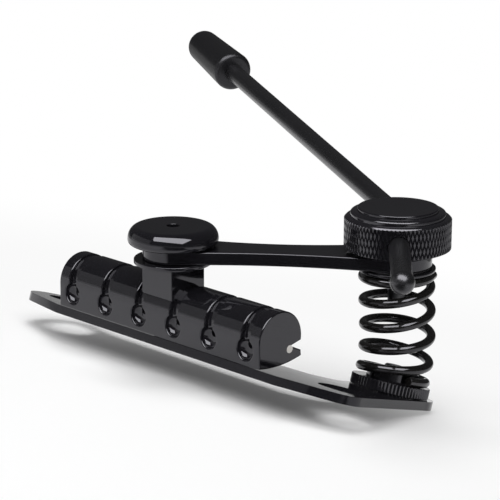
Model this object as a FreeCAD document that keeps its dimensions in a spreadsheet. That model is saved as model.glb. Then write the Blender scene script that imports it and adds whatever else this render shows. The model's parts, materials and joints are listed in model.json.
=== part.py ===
import FreeCAD, Part
import math
import os
import Sketcher

# Tremolo bridge of a six-string guitar, in its free state.
# X runs along the string bar from bass to treble, Y runs from the tail toward the neck, Z is up.
# The origin lies on the line through both stud slots, half way between them, at the plate's underside.
# The rocking parts are drawn in the string bar's own level frame, whose zero is the bar's front bottom
# edge at mid length. One placement then tilts them about the knife edge.

# Driving sizes in millimetres, and a few angles in degrees.
SIZES = {
    # base plate
    "plate_thickness": 1.8,
    "plate_front": 12.9,
    "plate_back": 6.0,
    "stud_spacing": 82.0,
    "slot_radius": 4.15,
    "slot_run": 1.5,
    "lobe_radius": 8.3,
    "foot_radius": 8.8,
    # pivot and rest pose
    "pivot_forward": 5.74,
    "apex_depth": 8.6,
    "apex_rise": 3.0,
    "rest_tilt_angle": 18.0,
    "rest_gap": 0.1,
    # general fits
    "running_gap": 0.15,
    "seat_gap": 0.1,
    "edge_break": 0.3,
    "overrun": 1.0,
    # knife brackets and their screws
    "bracket_width": 10.0,
    "bracket_gap": 0.35,
    "bracket_wall": 2.8,
    "bracket_rise": 2.3,
    "bracket_foot": 2.2,
    "bracket_reach": 7.4,
    "knife_start": 0.7,
    "knife_above_angle": 6.0,
    "knife_below_angle": 3.5,
    "screw_radius": 1.5,
    "screw_head_radius": 2.8,
    "screw_head_height": 1.3,
    "screw_pitch": 6.0,
    "screw_inset": 2.2,
    "screw_slot": 0.7,
    # foot stud and tension wheel
    "foot_back": 21.3,
    "foot_stud_radius": 2.0,
    "foot_head_radius": 3.2,
    "foot_head_height": 0.8,
    "foot_stud_top": 7.2,
    "wheel_radius": 8.05,
    "wheel_height": 2.1,
    "boss_radius": 5.2,
    "boss_height": 2.4,
    # tension spring
    "spring_radius": 6.8,
    "spring_wire": 1.9,
    # string bar
    "bar_length": 60.2,
    "bar_radius": 5.75,
    "bar_axis_rise": 4.75,
    "rear_rise": 0.5,
    "belly_depth": 5.0,
    "belly_drop": 0.45,
    "lip_depth": 11.4,
    "lip_low": 1.67,
    "pin_radius": 0.8,
    "pin_lean_angle": 55.0,
    "pin_proud": 0.15,
    "string_pitch": 10.4,
    "string_rise": 3.15,
    "string_exit_rise": 7.4,
    "string_bore_radius": 1.0,
    "ball_radius": 2.2,
    "ball_depth": 2.2,
    "sink_radius": 2.15,
    "groove_width": 2.2,
    "groove_front_depth": 0.9,
    "groove_crown_depth": 0.15,
    # post and lever
    "post_depth": 4.94,
    "post_side": 8.9,
    "post_seat": 8.0,
    "post_top": 14.5,
    "flange_radius": 7.95,
    "flange_thickness": 0.9,
    "lever_thickness": 2.65,
    "lever_post_end": 6.2,
    "lever_knob_end": 7.0,
    "lever_waist_front": 4.5,
    "lever_waist_back": 3.2,
    "knob_across": 34.0,
    "knob_depth": 34.2,
    # post bolt and round cap
    "bolt_radius": 2.5,
    "bolt_bottom": 3.6,
    "bolt_head_radius": 4.4,
    "bolt_head_height": 2.2,
    "hex_flats": 2.5,
    "hex_depth": 1.4,
    "spacer_radius": 6.2,
    "spacer_thickness": 0.4,
    "cap_radius": 9.15,
    "cap_base_radius": 8.3,
    "cap_flat_radius": 7.1,
    "cap_height": 3.65,
    "cap_hole_radius": 1.3,
    # swivel below and in the lever
    "stem_radius": 3.2,
    "stem_thread_radius": 1.75,
    "stem_tip_rise": 6.6,
    "stem_tip_flat": 0.7,
    "stem_tip_round": 1.0,
    "bushing_wall": 1.0,
    "bushing_flange_radius": 6.9,
    "bushing_flange": 0.5,
    "wave_radius": 6.4,
    "wave_thickness": 0.2,
    "liner_thickness": 0.3,
    "cup_radius": 7.75,
    "cup_thickness": 0.7,
    "cup_step_radius": 5.25,
    "cup_step": 1.8,
    "nut_radius": 3.3,
    "nut_height": 1.3,
    # arm holder
    "holder_radius": 10.7,
    "holder_band": 6.15,
    "step_radius": 9.5,
    "band_slope": 0.6,
    "step_wall": 0.5,
    "step_slope": 0.6,
    "lid_radius": 8.1,
    "lid_sunk": 0.7,
    "lid_proud": 0.6,
    "arm_rise": 2.85,
    "clamp_radius": 2.0,
    "clamp_hex_flats": 1.8,
    "clamp_hex_depth": 0.8,
    # arm
    "arm_radius": 2.075,
    "arm_azimuth": 134.2,
    "arm_front": 34.8,
    "arm_ball_radius": 2.35,
    "arm_ball_grip": 1.2,
    "bend_distance": 15.5,
    "bend_radius": 16.0,
    "bend_angle": 22.2,
    "bend_roll_angle": 16.2,
    "arm_reach": 102.6,
    "tip_length": 25.5,
    "tip_near_radius": 4.65,
    "tip_far_radius": 4.0,
    "tip_round": 2.6,
    "tip_near_round": 1.2,
    "tip_bore": 14.0,
}

STRING_COUNT = 6
SPRING_TURNS = 5.1
SPRING_START_ANGLE = 353.5

# Spring law: the end coils climb this share of the open pitch, for so many turns, then ease into it.
DEAD_PITCH_SHARE = 0.05
DEAD_TURNS_SHARE = 0.3
OPEN_TURNS_SHARE = 0.7

# Spans of wire in one turn of the spring, the sampling of its self gap, and the step that finds its direction.
SPANS_IN_TURN = 4
GAP_SAMPLES = 48
DIRECTION_STEP_SHARE = 0.0005

# Middle of each knife bracket, as a share of half the bar's length.
BRACKET_PLACE_SHARE = 0.226

# Sides of the hexagonal sockets.
HEX_SIDES = 6

# Corners of the plate, as shares of half the stud spacing along X and of the front depth along Y.
FRONT_BASS_SHARE = 0.756
FRONT_TREBLE_SHARE = 0.84
CORNER_START_SHARES = (1.13, 0.66)
CORNER_MIDDLE_SHARES = (1.185, 0.49)
CORNER_END_SHARES = (1.193, 0.27)
BACK_BASS_SHARE = 0.83
BACK_TREBLE_SHARE = 0.44

# Points around the plate's foot, as shares of its radius from the foot's centre.
FOOT_SIDE_SHARES = (1.03, 0.12)
FOOT_END_SHARES = (0.0, 1.0)
FOOT_INNER_SHARES = (-0.79, -0.36)
NECK_INNER_SHARES = (-0.63, -0.98)
NECK_MIDDLE_SHARES = (-0.8, -1.33)
NECK_ROOT_SHARES = (-1.2, -1.6)

# The bass lobe's lower tangent point and a point on its rim, as shares of its radius.
LOBE_FOOT_SHARES = (-0.37, -0.93)
LOBE_TOP_SHARES = (0.14, 0.99)

# Rim of the round cap, as shares of its height, and the swell of its lower edge.
CAP_RIM_SHARE = 0.27
CAP_LOW_MIDDLE_SHARES = (0.72, 0.13)
CAP_HIGH_MIDDLE_SHARES = (0.74, 0.8)

# Middle of a quarter round, as a share of its radius.
ROUND_SHARE = math.sqrt(0.5)


class Size:
    """A length that carries its number and the sheet expression that gives it."""

    def __init__(self, number, text):
        self.number = number
        self.text = text

    def joined(self, sign, other, number):
        return Size(number, "(%s %s %s)" % (self.text, sign, wording(other)))

    def __float__(self):
        return self.number

    def __neg__(self):
        return Size(-self.number, "(-1 * %s)" % self.text)

    def __add__(self, other):
        return self.joined("+", other, self.number + float(other))

    def __radd__(self, other):
        return self + other

    def __sub__(self, other):
        return self.joined("-", other, self.number - float(other))

    def __mul__(self, other):
        return self.joined("*", other, self.number * float(other))

    def __rmul__(self, other):
        return self * other

    def __truediv__(self, other):
        return self.joined("/", other, self.number / float(other))


def wording(value):
    """The expression text of a size or of a plain share."""
    if isinstance(value, Size):
        return value.text
    return "(%.9f)" % value


def root(size):
    """The square root of a size."""
    return Size(math.sqrt(size.number), "sqrt(%s)" % size.text)


document = FreeCAD.newDocument("TremoloBridge")
sheet = document.addObject("Spreadsheet::Sheet", "Sizes")
for row, (alias, number) in enumerate(SIZES.items(), start=1):
    sheet.set("A%d" % row, alias)
    sheet.set("B%d" % row, str(number))
    sheet.setAlias("B%d" % row, alias)
document.recompute()


class Sheet:
    """Reads the driving sizes back from the sheet by name."""

    def __getattr__(self, alias):
        return Size(float(sheet.get(alias)), "Sizes.%s" % alias)


size = Sheet()
parts = {}


def vector(x, y, z):
    return FreeCAD.Vector(float(x), float(y), float(z))


def moved(x, y, z):
    return FreeCAD.Placement(vector(x, y, z), FreeCAD.Rotation())


def turned(axis, degrees):
    return FreeCAD.Placement(vector(0, 0, 0), FreeCAD.Rotation(axis, float(degrees)))


AXIS_X = FreeCAD.Vector(1, 0, 0)
AXIS_Y = FreeCAD.Vector(0, 1, 0)
AXIS_Z = FreeCAD.Vector(0, 0, 1)
HERE = FreeCAD.Placement()
ALONG_X = turned(AXIS_Y, 90)


def bind(item, prop, value):
    """Tie one property of an object to the sheet."""
    item.setExpression(prop, value.text)


def keep(item, name, placement):
    """Name an object as one sub-part and put it in its place."""
    item.Label = name
    item.Placement = placement
    parts[name] = item
    return item


# Sketches and turned or padded bodies

def pin_point(sketch, geometry, end, x, y):
    """Fix one point of a sketch at named distances from its origin; a plain zero means on the axis."""
    for kind, value, axis in (("DistanceX", x, -2), ("DistanceY", y, -1)):
        if isinstance(value, Size):
            number = sketch.addConstraint(Sketcher.Constraint(kind, -1, 1, geometry, end, value.number))
            sketch.setExpression("Constraints[%d]" % number, value.text)
        else:
            sketch.addConstraint(Sketcher.Constraint("PointOnObject", geometry, end, axis))


def nearest_end(sketch, geometry, point):
    """1 for an edge's start, 2 for its end, whichever lies at the point."""
    start = sketch.getPoint(geometry, 1)
    stop = sketch.getPoint(geometry, 2)
    return 1 if (start - point).Length <= (stop - point).Length else 2


def draw_outline(sketch, outline):
    """Close an outline of corners. A corner (x, y) ends a line, (x, y, mx, my) ends an arc through (mx, my)."""
    corners = [vector(entry[0], entry[1], 0) for entry in outline]
    edges = []
    for index, entry in enumerate(outline):
        start = corners[index - 1]
        stop = corners[index]
        if len(entry) == 2:
            edges.append(sketch.addGeometry(Part.LineSegment(start, stop), False))
        else:
            middle = vector(entry[2], entry[3], 0)
            edges.append(sketch.addGeometry(Part.Arc(start, middle, stop), False))
    for index, entry in enumerate(outline):
        edge = edges[index]
        following = edges[(index + 1) % len(edges)]
        end = nearest_end(sketch, edge, corners[index])
        start = nearest_end(sketch, following, corners[index])
        sketch.addConstraint(Sketcher.Constraint("Coincident", edge, end, following, start))
        pin_point(sketch, edge, end, entry[0], entry[1])
        if len(entry) == 4:
            mark = sketch.addGeometry(Part.Point(vector(entry[2], entry[3], 0)), True)
            pin_point(sketch, mark, 1, entry[2], entry[3])
            sketch.addConstraint(Sketcher.Constraint("PointOnObject", mark, 1, edge))


def draw_circle(sketch, x, y, radius):
    """A round hole at a named place in a sketch."""
    ring = sketch.addGeometry(Part.Circle(vector(x, y, 0), AXIS_Z, float(radius)), False)
    number = sketch.addConstraint(Sketcher.Constraint("Radius", ring, radius.number))
    sketch.setExpression("Constraints[%d]" % number, radius.text)
    pin_point(sketch, ring, 3, x, y)


def new_sketch(body, role):
    """A sketch on one of the body's own origin planes."""
    plane = [item for item in body.Origin.OriginFeatures if item.Role == role][0]
    sketch = body.newObject("Sketcher::SketchObject", body.Name + "_sketch")
    sketch.AttachmentSupport = [(plane, "")]
    sketch.MapMode = "FlatFace"
    return sketch


def revolved(name, profile):
    """A body turned about its own Z axis from (radius, height) corners."""
    body = document.addObject("PartDesign::Body", name + "_body")
    sketch = new_sketch(body, "XZ_Plane")
    draw_outline(sketch, profile)
    feature = body.newObject("PartDesign::Revolution", name + "_turn")
    feature.Profile = sketch
    feature.ReferenceAxis = (sketch, ["V_Axis"])
    feature.Angle = 360
    return body


def padded(name, role, outline, thickness, holes=(), centred=False, slots=()):
    """A body padded from an outline with round holes and slots, square to one origin plane."""
    body = document.addObject("PartDesign::Body", name + "_body")
    sketch = new_sketch(body, role)
    draw_outline(sketch, outline)
    for x, y, radius in holes:
        draw_circle(sketch, x, y, radius)
    for slot in slots:
        draw_outline(sketch, slot)
    feature = body.newObject("PartDesign::Pad", name + "_pad")
    feature.Profile = sketch
    feature.Midplane = centred
    bind(feature, "Length", thickness)
    return body


# Primitives and booleans

def cylinder(name, radius, height, placement):
    item = document.addObject("Part::Cylinder", name)
    bind(item, "Radius", radius)
    bind(item, "Height", height)
    item.Placement = placement
    return item


def cone(name, radius_low, radius_high, height, placement):
    item = document.addObject("Part::Cone", name)
    bind(item, "Radius1", radius_low)
    bind(item, "Radius2", radius_high)
    bind(item, "Height", height)
    item.Placement = placement
    return item


def box(name, length, width, height, placement):
    item = document.addObject("Part::Box", name)
    bind(item, "Length", length)
    bind(item, "Width", width)
    bind(item, "Height", height)
    item.Placement = placement
    return item


def cut(name, base, tools):
    """The base without its tools; several tools are fused first."""
    tool = tools[0]
    if len(tools) > 1:
        tool = document.addObject("Part::MultiFuse", name + "_tools")
        tool.Shapes = tools
    item = document.addObject("Part::Cut", name + "_cut")
    item.Base = base
    item.Tool = tool
    return item


# Frames shared by the pieces

tilt = math.radians(float(size.rest_tilt_angle))
edge_drop = size.apex_depth * math.sin(tilt) + size.apex_rise * math.cos(tilt)
pivot_height = size.plate_thickness + size.rest_gap + edge_drop
pivot = vector(0, -size.pivot_forward, pivot_height)
bar_pivot = vector(0, size.apex_depth, size.apex_rise)
rocker = FreeCAD.Placement(pivot, FreeCAD.Rotation(AXIS_X, float(size.rest_tilt_angle)))
rocker = rocker.multiply(FreeCAD.Placement(bar_pivot, FreeCAD.Rotation()).inverse())

flange_bottom = size.post_top
lever_bottom = size.post_top + size.flange_thickness
lever_top = lever_bottom + size.lever_thickness
holder_bottom = lever_top + size.bushing_flange + size.wave_thickness + size.seat_gap
arm_height = holder_bottom + size.arm_rise
cup_top = lever_bottom - size.liner_thickness
cup_bottom = cup_top - size.cup_thickness
stem_step = cup_top + size.seat_gap

post_axis = rocker.multiply(moved(0, size.post_depth, 0))
knob_axis = rocker.multiply(moved(size.knob_across, size.knob_depth, 0))
foot = moved(size.knob_across, size.foot_back, 0)
arm_frame = knob_axis.multiply(moved(0, 0, arm_height)).multiply(turned(AXIS_Z, size.arm_azimuth))
arm_frame = arm_frame.multiply(turned(AXIS_X, size.bend_roll_angle))


# Base plate with two stud slots and a foot under the spring

def slot_outline(centre_x):
    """An open-ended stud slot along X."""
    near = centre_x - size.slot_run
    far = centre_x + size.slot_run
    reach = size.slot_radius
    return [
        (far, -reach),
        (far, reach, far + reach, 0),
        (near, reach),
        (near, -reach, near - reach, 0),
    ]


def plate_point(shares):
    return (size.stud_spacing / 2 * shares[0], -size.plate_front * shares[1])


def foot_point(shares):
    return (size.knob_across + size.foot_radius * shares[0], size.foot_back + size.foot_radius * shares[1])


def lobe_point(shares):
    centre = -(size.stud_spacing / 2 + size.slot_run)
    return (centre + size.lobe_radius * shares[0], size.lobe_radius * shares[1])


def make_base_plate():
    half = size.stud_spacing / 2
    lobe_end = -(half + size.slot_run + size.lobe_radius)
    outline = [
        (-half * FRONT_BASS_SHARE, -size.plate_front),
        (half * FRONT_TREBLE_SHARE, -size.plate_front),
        plate_point(CORNER_START_SHARES),
        plate_point(CORNER_END_SHARES) + plate_point(CORNER_MIDDLE_SHARES),
        foot_point(FOOT_SIDE_SHARES),
        foot_point(FOOT_INNER_SHARES) + foot_point(FOOT_END_SHARES),
        foot_point(NECK_INNER_SHARES),
        foot_point(NECK_ROOT_SHARES) + foot_point(NECK_MIDDLE_SHARES),
        (half * BACK_TREBLE_SHARE, size.plate_back),
        (-half * BACK_BASS_SHARE, size.plate_back),
        lobe_point(LOBE_TOP_SHARES),
        lobe_point(LOBE_FOOT_SHARES) + (lobe_end, 0),
    ]
    holes = [(size.knob_across, size.foot_back, size.foot_stud_radius)]
    slots = [slot_outline(-half), slot_outline(half)]
    plate = padded("base_plate", "XY_Plane", outline, size.plate_thickness, holes, slots=slots)
    sinks = [screw_solid("plate_sink_%d" % index, place, size.seat_gap)
             for index, place in enumerate(screw_places())]
    head_radius = size.foot_head_radius + size.seat_gap
    sinks.append(cylinder("plate_head_sink", head_radius, size.foot_head_height, foot))
    keep(cut("base_plate", plate, sinks), "base_plate", HERE)


# Knife brackets, screwed on from below

def bracket_place():
    """Distance of each bracket's middle from the bar's."""
    return size.bar_length / 2 * BRACKET_PLACE_SHARE


def screw_places():
    """Centres of the four bracket screws at the plate's underside."""
    places = []
    for side in (-1, 1):
        for end in (-1, 1):
            x = bracket_place() * side + size.screw_pitch / 2 * end
            places.append(moved(x, bracket_front() + size.bracket_reach - size.screw_inset, 0))
    return places


def screw_length():
    return size.plate_thickness + size.bracket_foot - size.seat_gap


def screw_solid(name, place, gap=0):
    """A countersunk screw, or the hole for it where a gap is given."""
    shank = cylinder(name + "_shank", size.screw_radius + gap, screw_length(), place)
    head = cone(name + "_head", size.screw_head_radius + gap, size.screw_radius + gap,
                size.screw_head_height, place)
    item = document.addObject("Part::Fuse", name)
    item.Base = shank
    item.Tool = head
    return item


def bracket_front():
    """Front face of the brackets: just clear of the bar's rear lower corner as it rocks."""
    return rear_reach() + size.bracket_gap - size.pivot_forward


def rear_reach():
    """Farthest reach of the bar's rear lower corner behind the knife edge, which it has at rest."""
    across = size.bar_radius * 2 - size.apex_depth
    down = size.apex_rise - size.rear_rise
    return across * math.cos(tilt) + down * math.sin(tilt)


def make_bracket(name, side):
    front = bracket_front()
    back = front + size.bracket_wall
    heel = front + size.bracket_reach
    base = size.plate_thickness
    level = pivot_height
    top = level + size.bracket_rise
    edge = -size.pivot_forward + size.knife_start
    depth = front + size.pivot_forward
    above = math.tan(math.radians(float(size.knife_above_angle)))
    below = math.tan(math.radians(float(size.knife_below_angle)))
    outline = [
        (front, base),
        (heel, base),
        (heel, base + size.bracket_foot),
        (back, base + size.bracket_foot),
        (back, top),
        (front, top),
        (front, level + depth * above),
        (edge, level + size.knife_start * above),
        (edge, level - size.knife_start * below),
        (front, level - depth * below),
    ]
    bracket = padded(name, "YZ_Plane", outline, size.bracket_width, centred=True)
    bracket.Placement = moved(bracket_place() * side, 0, 0)
    holes = [cylinder("%s_hole_%d" % (name, end), size.screw_radius, screw_length() + size.overrun, place)
             for end, place in enumerate(screw_places())]
    keep(cut(name, bracket, holes), name, HERE)


def make_bracket_screws():
    screws = []
    for index, place in enumerate(screw_places()):
        solid = screw_solid("bracket_screw_%d" % index, place)
        reach = size.screw_head_radius + size.overrun
        slot = box("bracket_screw_slot_%d" % index, reach * 2, size.screw_slot, size.screw_slot,
                   place.multiply(moved(-reach, -size.screw_slot / 2, 0)))
        screws.append(cut("bracket_screw_%d" % index, solid, [slot]))
    group = document.addObject("Part::Compound", "bracket_screw_group")
    group.Links = screws
    keep(group, "bracket_screws", HERE)


# Foot stud, tension wheel and spring

def make_foot_stud():
    profile = [
        (0, 0),
        (size.foot_head_radius, 0),
        (size.foot_head_radius, size.foot_head_height),
        (size.foot_stud_radius, size.foot_head_height),
        (size.foot_stud_radius, size.foot_stud_top - size.edge_break),
        (size.foot_stud_radius - size.edge_break, size.foot_stud_top),
        (0, size.foot_stud_top),
    ]
    keep(revolved("foot_stud", profile), "foot_stud", foot)


def wheel_top():
    return size.plate_thickness + size.seat_gap + size.wheel_height


def make_tension_wheel():
    low = size.plate_thickness + size.seat_gap
    bore = size.foot_stud_radius + size.running_gap
    profile = [
        (bore, low),
        (size.wheel_radius - size.edge_break, low),
        (size.wheel_radius, low + size.edge_break),
        (size.wheel_radius, wheel_top() - size.edge_break),
        (size.wheel_radius - size.edge_break, wheel_top()),
        (size.boss_radius, wheel_top()),
        (size.boss_radius, wheel_top() + size.boss_height - size.edge_break),
        (size.boss_radius - size.edge_break, wheel_top() + size.boss_height),
        (bore, wheel_top() + size.boss_height),
    ]
    keep(revolved("tension_wheel", profile), "tension_wheel", foot)


def eased(turn):
    """Climb of the wire after so many turns from one end, in open pitches."""
    climb = DEAD_PITCH_SHARE * turn
    gain = 1 - DEAD_PITCH_SHARE
    if turn > OPEN_TURNS_SHARE:
        climb += gain * (turn - (DEAD_TURNS_SHARE + OPEN_TURNS_SHARE) / 2)
    elif turn > DEAD_TURNS_SHARE:
        climb += gain * (turn - DEAD_TURNS_SHARE) ** 2 / (2 * (OPEN_TURNS_SHARE - DEAD_TURNS_SHARE))
    return climb


def climb_share(turn):
    """Share of the spring's height reached after so many turns."""
    half = eased(SPRING_TURNS / 2)
    if turn <= SPRING_TURNS / 2:
        return eased(turn) / (2 * half)
    return 1 - eased(SPRING_TURNS - turn) / (2 * half)


def spring_ends():
    """Both ends of the spring's axis, with their directions, clear of the wheel and the cup."""
    lift = float(size.spring_wire) / 2 + float(size.seat_gap)
    low = vector(size.knob_across, size.foot_back, float(wheel_top()) + lift)
    high = knob_axis.multVec(vector(0, 0, float(cup_bottom) - lift))
    return low, AXIS_Z, high, knob_axis.Rotation.multVec(AXIS_Z)


def axis_point(share):
    """Place and direction on the spring's bent axis: a cubic that is square to both seats."""
    low, low_way, high, high_way = spring_ends()
    span = (high - low).Length
    rest = 1 - share
    place = low * (rest * rest * (1 + 2 * share)) + high * (share * share * (3 - 2 * share))
    place = place + low_way * (span * share * rest * rest) - high_way * (span * share * share * rest)
    way = (high - low) * (6 * share * rest)
    way = way + low_way * (span * rest * (1 - 3 * share)) + high_way * (span * share * (3 * share - 2))
    way.normalize()
    return place, way


def wire_point(turn):
    """Centre of the spring wire after so many turns."""
    place, way = axis_point(climb_share(turn))
    angle = math.radians(SPRING_START_ANGLE) + 2 * math.pi * turn
    side = way.cross(AXIS_X)
    side.normalize()
    outward = AXIS_X * math.cos(angle) + side * math.sin(angle)
    return place + outward * float(size.spring_radius)


def wire_direction(turn):
    way = wire_point(turn + DIRECTION_STEP_SHARE) - wire_point(turn - DIRECTION_STEP_SHARE)
    way.normalize()
    return way


def arc_through(start, corner, stop):
    """The arc that leaves start toward a corner point and reaches stop from it."""
    weight = (stop - start).Length / (2 * (corner - start).Length)
    middle = (start + stop + corner * (2 * weight)) * (1 / (2 + 2 * weight))
    return Part.Arc(start, middle, stop).toShape()


def twin_arcs(start, start_way, stop, stop_way):
    """Two arcs that join with one tangent between two points with given directions."""
    across = stop - start
    both = start_way + stop_way
    bend = 2 * (1 - start_way.dot(stop_way))
    reach = (math.sqrt(across.dot(both) ** 2 + bend * across.dot(across)) - across.dot(both)) / bend
    first = start + start_way * reach
    last = stop - stop_way * reach
    join = (first + last) * 0.5
    return [arc_through(start, first, join), arc_through(join, last, stop)]


def least_self_gap():
    """Least gap between two coils, measured on points along the wire."""
    count = int(GAP_SAMPLES * SPRING_TURNS)
    points = [wire_point(SPRING_TURNS * index / count) for index in range(count + 1)]
    apart = GAP_SAMPLES // 2
    least = min((points[first] - points[second]).Length
                for first in range(count + 1) for second in range(first + apart, count + 1))
    return least - float(size.spring_wire)


def make_tension_spring():
    """One unbroken wire: two arcs in each span, with a straight end of one wire at each side."""
    wire = float(size.spring_wire)
    spans = int(SPRING_TURNS * SPANS_IN_TURN)
    turns = [SPRING_TURNS * index / spans for index in range(spans + 1)]
    start = wire_point(turns[0])
    start_way = wire_direction(turns[0])
    tail = start - start_way * wire
    edges = [Part.LineSegment(tail, start).toShape()]
    for first, second in zip(turns, turns[1:]):
        edges += twin_arcs(wire_point(first), wire_direction(first), wire_point(second), wire_direction(second))
    stop = wire_point(turns[-1])
    stop_way = wire_direction(turns[-1])
    edges.append(Part.LineSegment(stop, stop + stop_way * wire).toShape())
    ring = Part.Wire([Part.Circle(tail, start_way, wire / 2).toShape()])
    item = document.addObject("Part::Feature", "tension_spring_wire")
    item.Shape = Part.Wire(edges).makePipeShell([ring], True, False)
    keep(item, "tension_spring", HERE)
    print("spring: least self gap %.2f mm, volume %.1f" % (least_self_gap(), item.Shape.Volume))


# String bar, knife pin and post

def string_places():
    """X of each string along the bar, from bass to treble."""
    return [size.string_pitch * (index - (STRING_COUNT - 1) / 2) for index in range(STRING_COUNT)]


def bore_frame(x):
    """Frame of a string bore: zero at the front hole, Z toward the ball seat at the rear."""
    rise = float(size.string_exit_rise) - float(size.string_rise)
    slope = math.degrees(math.atan2(rise, float(size.lip_depth)))
    return moved(x, 0, size.string_rise).multiply(turned(AXIS_X, slope - 90))


def bore_length():
    rise = size.string_exit_rise - size.string_rise
    return root(rise * rise + size.lip_depth * size.lip_depth)


def string_tools(index, x):
    """Bore, ball seat, front sink and string groove of one string."""
    frame = bore_frame(x)
    start = frame.multiply(moved(0, 0, -size.overrun))
    seat = frame.multiply(moved(0, 0, bore_length() - size.ball_depth))
    bore = cylinder("string_bore_%d" % index, size.string_bore_radius, bore_length() + size.overrun, start)
    ball = cylinder("ball_seat_%d" % index, size.ball_radius, size.ball_depth + size.overrun, seat)
    sink_place = moved(x, 0, size.string_rise).multiply(turned(AXIS_X, -90))
    sink = cone("string_sink_%d" % index, size.sink_radius, size.string_bore_radius,
                size.sink_radius - size.string_bore_radius, sink_place)
    return [bore, ball, sink, string_groove(index, x)]


def string_groove(index, x):
    """A string groove over the bar, deeper at the front than at the crown, as its floor is off centre."""
    depth = (size.groove_front_depth + size.groove_crown_depth) / 2
    shift = (size.groove_front_depth - size.groove_crown_depth) / 2
    left = x - size.groove_width / 2
    place = moved(left, size.bar_radius, size.bar_axis_rise).multiply(ALONG_X)
    floor = moved(left, size.bar_radius + shift, size.bar_axis_rise + shift).multiply(ALONG_X)
    outer = cylinder("groove_outer_%d" % index, size.bar_radius + size.overrun, size.groove_width, place)
    inner = cylinder("groove_inner_%d" % index, size.bar_radius - depth, size.groove_width, floor)
    ring = cut("groove_ring_%d" % index, outer, [inner])
    span = size.bar_radius + size.overrun
    block = box("groove_block_%d" % index, size.groove_width, span, span * 2,
                moved(x - size.groove_width / 2, -size.overrun, size.string_rise))
    item = document.addObject("Part::Common", "groove_%d" % index)
    item.Base = ring
    item.Tool = block
    return item


def make_string_bar():
    crown = size.bar_axis_rise + size.bar_radius
    depth = size.bar_radius * 2
    lip_across = size.lip_depth - size.bar_radius
    lip_on_round = size.bar_axis_rise - root(size.bar_radius * size.bar_radius - lip_across * lip_across)
    outline = [
        (0, 0),
        (depth, size.rear_rise, size.belly_depth, -size.belly_drop),
        (size.lip_depth, size.lip_low),
        (size.apex_depth, size.apex_rise),
        (size.lip_depth, lip_on_round),
        (0, size.bar_axis_rise, size.bar_radius, crown),
    ]
    bar = padded("string_bar", "YZ_Plane", outline, size.bar_length, centred=True)
    tools = [pin_solid("pin_bore", size.pin_radius, size.overrun)]
    for index, x in enumerate(string_places()):
        tools += string_tools(index, x)
    side = size.post_side
    tools.append(box("post_pocket", side, side, size.bar_radius * 2,
                     moved(-side / 2, size.post_depth - side / 2, size.post_seat)))
    bolt_foot = moved(0, size.post_depth, size.bolt_bottom)
    tools.append(cylinder("bolt_hole", size.bolt_radius, size.post_seat, bolt_foot))
    keep(cut("string_bar", bar, tools), "string_bar", rocker)


def pin_solid(name, radius, extra=0):
    """The hard pin along the bar, which stands a little proud of the notch's root."""
    lean = math.radians(float(size.pin_lean_angle))
    sunk = size.pin_radius - size.pin_proud
    place = moved(-(size.bar_length / 2 + extra), size.apex_depth - sunk * math.cos(lean),
                  size.apex_rise - sunk * math.sin(lean))
    return cylinder(name, radius, size.bar_length + extra * 2, place.multiply(ALONG_X))


def make_bearing_pin():
    pin = pin_solid("bearing_pin_solid", size.pin_radius)
    inner = pin.Placement
    keep(pin, "bearing_pin", rocker.multiply(inner))


def make_centre_post():
    side = size.post_side
    half = side / 2
    outline = [(-half, -half), (half, -half), (half, half), (-half, half)]
    holes = [(0, 0, size.bolt_radius)]
    post = padded("centre_post", "XY_Plane", outline, size.post_top - size.post_seat, holes)
    keep(post, "centre_post", post_axis.multiply(moved(0, 0, size.post_seat)))


def ring_piece(name, inner, outer, low, high, axis):
    """A plain ring between two heights on one of the shared axes."""
    profile = [(inner, low), (outer, low), (outer, high), (inner, high)]
    keep(revolved(name, profile), name, axis)


# Lever between the post and the arm's swivel

def make_lever():
    across = size.knob_across
    back = size.knob_depth - size.post_depth
    length = root(across * across + back * back)
    waist = length / 2
    near = size.lever_post_end
    far = size.lever_knob_end
    outline = [
        (0, -near, -near, 0),
        (length, -far, waist, -size.lever_waist_front),
        (length, far, length + far, 0),
        (0, near, waist, size.lever_waist_back),
    ]
    hole = size.stem_radius + size.running_gap + size.bushing_wall
    holes = [(0, 0, size.bolt_radius), (length, 0, hole)]
    lever = padded("lever", "XY_Plane", outline, size.lever_thickness, holes)
    turn = math.degrees(math.atan2(float(back), float(across)))
    keep(lever, "lever", post_axis.multiply(moved(0, 0, lever_bottom)).multiply(turned(AXIS_Z, turn)))


# Bolt and cap on the post

def hexagon(flats):
    """Corners of a hexagonal socket."""
    corner = flats / (2 * math.cos(math.pi / HEX_SIDES))
    points = []
    for index in range(HEX_SIDES):
        angle = 2 * math.pi * (index + 1 / 2) / HEX_SIDES
        points.append((corner * math.cos(angle), corner * math.sin(angle)))
    return points


def make_centre_bolt():
    head_bottom = lever_top + size.spacer_thickness
    head_top = head_bottom + size.bolt_head_height
    profile = [
        (0, size.bolt_bottom),
        (size.bolt_radius, size.bolt_bottom),
        (size.bolt_radius, head_bottom),
        (size.bolt_head_radius, head_bottom),
        (size.bolt_head_radius, head_top),
        (0, head_top),
    ]
    bolt = revolved("centre_bolt", profile)
    socket = padded("centre_bolt_socket", "XY_Plane", hexagon(size.hex_flats), size.hex_depth + size.overrun)
    socket.Placement = moved(0, 0, head_top - size.hex_depth)
    keep(cut("centre_bolt", bolt, [socket]), "centre_bolt", post_axis)


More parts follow.
